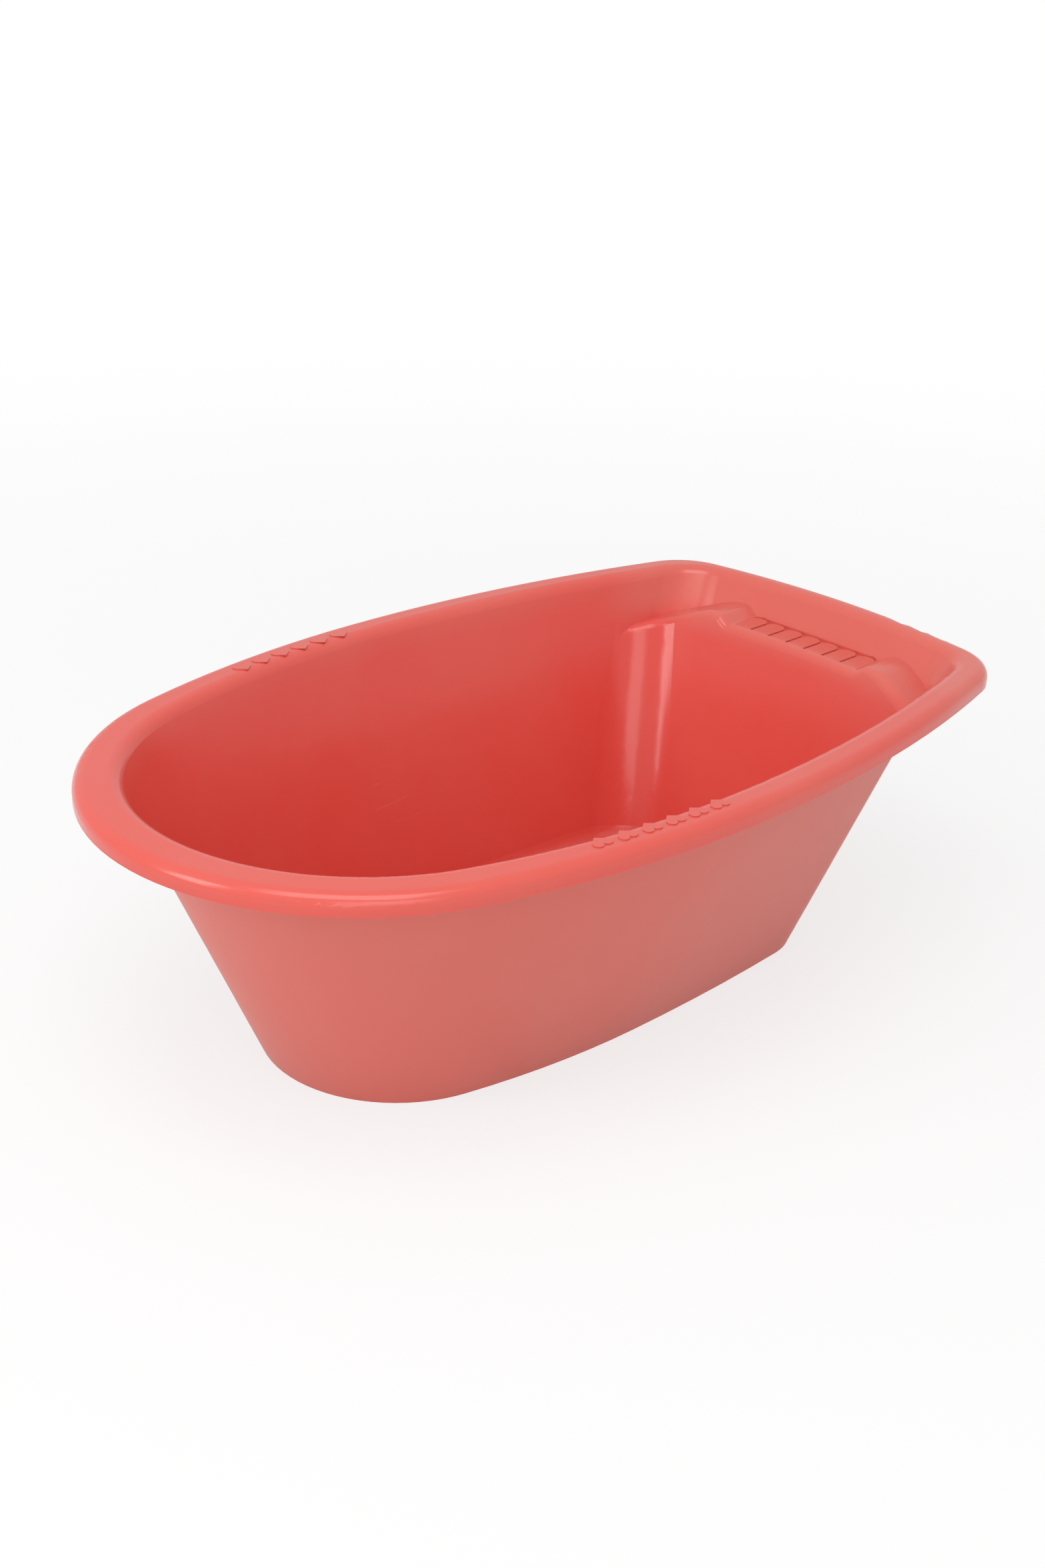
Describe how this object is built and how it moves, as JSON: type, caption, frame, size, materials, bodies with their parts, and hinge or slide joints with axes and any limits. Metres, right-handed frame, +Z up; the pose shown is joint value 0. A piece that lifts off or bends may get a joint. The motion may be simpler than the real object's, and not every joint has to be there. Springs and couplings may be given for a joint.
{
  "type": "baby bathtub",
  "caption": "Moulded baby bathtub with a rolled rim, a ribbed soap shelf at the foot end, raised hearts on the rim and a floor drain plug.",
  "frame": {"origin": "on the floor, below the middle of the tub's bounding box", "axes": "+X along the tub to the foot end with the soap shelf, +Y across the tub, +Z up"},
  "size_m": [0.7999, 0.5, 0.2509],
  "materials": {
    "tub_plastic": "glossy inside, satin outside, coral red",
    "plug_plastic": "smooth, off white",
    "seal_rubber": "matt, dark grey"
  },
  "bodies": {
    "tub": {"tub_shell": "tub_plastic"},
    "plug": {"drain_plug": "plug_plastic", "plug_seal": "seal_rubber"}
  },
  "joints": [
    {"name": "plug_lift", "type": "slide", "parent": "tub", "child": "plug", "axis": [0, 0, 1], "range_m": [0, 0.04]}
  ]
}
